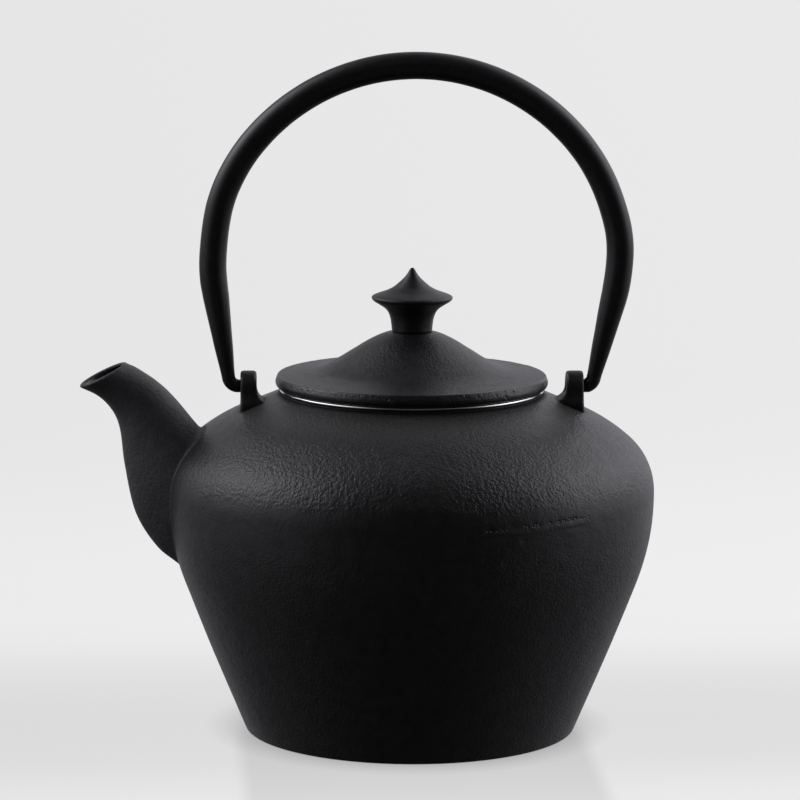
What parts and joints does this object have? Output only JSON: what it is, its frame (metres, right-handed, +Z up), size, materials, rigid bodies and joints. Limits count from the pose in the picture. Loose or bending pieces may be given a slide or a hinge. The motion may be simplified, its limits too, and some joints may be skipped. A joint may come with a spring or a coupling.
{
  "type": "teapot",
  "caption": "Cast iron teapot with a curved spout, a swinging bail handle, a lifting lid with a screwed-on knob and a lift-out steel infuser.",
  "frame": {"origin": "centre of the flat underside of the pot, on the table plane", "axes": "+Z up along the axis of the pot; the spout points to -X; the bail pivots on the X direction"},
  "size_m": [0.1912, 0.1622, 0.2267],
  "materials": {
    "cast_iron_body": "black enamelled cast iron with a fine cast grain",
    "cast_iron_spout": "black enamelled cast iron, smoother than the body",
    "cast_iron_lugs": "black enamelled cast iron",
    "cast_iron_lid": "black enamelled cast iron with a fine cast grain",
    "handle_paint": "satin black paint",
    "knob_paint": "satin black paint",
    "screw_steel": "plain bright steel",
    "polished_steel": "polished stainless steel",
    "perforated_steel": "satin stainless steel sheet with round perforations"
  },
  "bodies": {
    "pot": {"pot_body": "cast_iron_body", "spout": "cast_iron_spout", "lug_left": "cast_iron_lugs", "lug_right": "cast_iron_lugs"},
    "bail": {"bail_handle": "handle_paint"},
    "infuser": {"infuser_rim": "polished_steel", "infuser_basket": "perforated_steel", "infuser_base": "perforated_steel"},
    "lid_group": {"lid": "cast_iron_lid", "lid_knob": "knob_paint", "knob_screw": "screw_steel", "knob_washer": "screw_steel"}
  },
  "joints": [
    {"name": "bail_swing", "type": "hinge", "parent": "pot", "child": "bail", "pos_m": [0, 0, 0.1156], "axis": [1, 0, 0], "range_deg": [-108, 108]},
    {"name": "infuser_lift", "type": "slide", "parent": "pot", "child": "infuser", "axis": [0, 0, 1], "range_m": [0, 0.06]},
    {"name": "lid_lift", "type": "slide", "parent": "infuser", "child": "lid_group", "axis": [0, 0, 1], "range_m": [0, 0.06]}
  ]
}
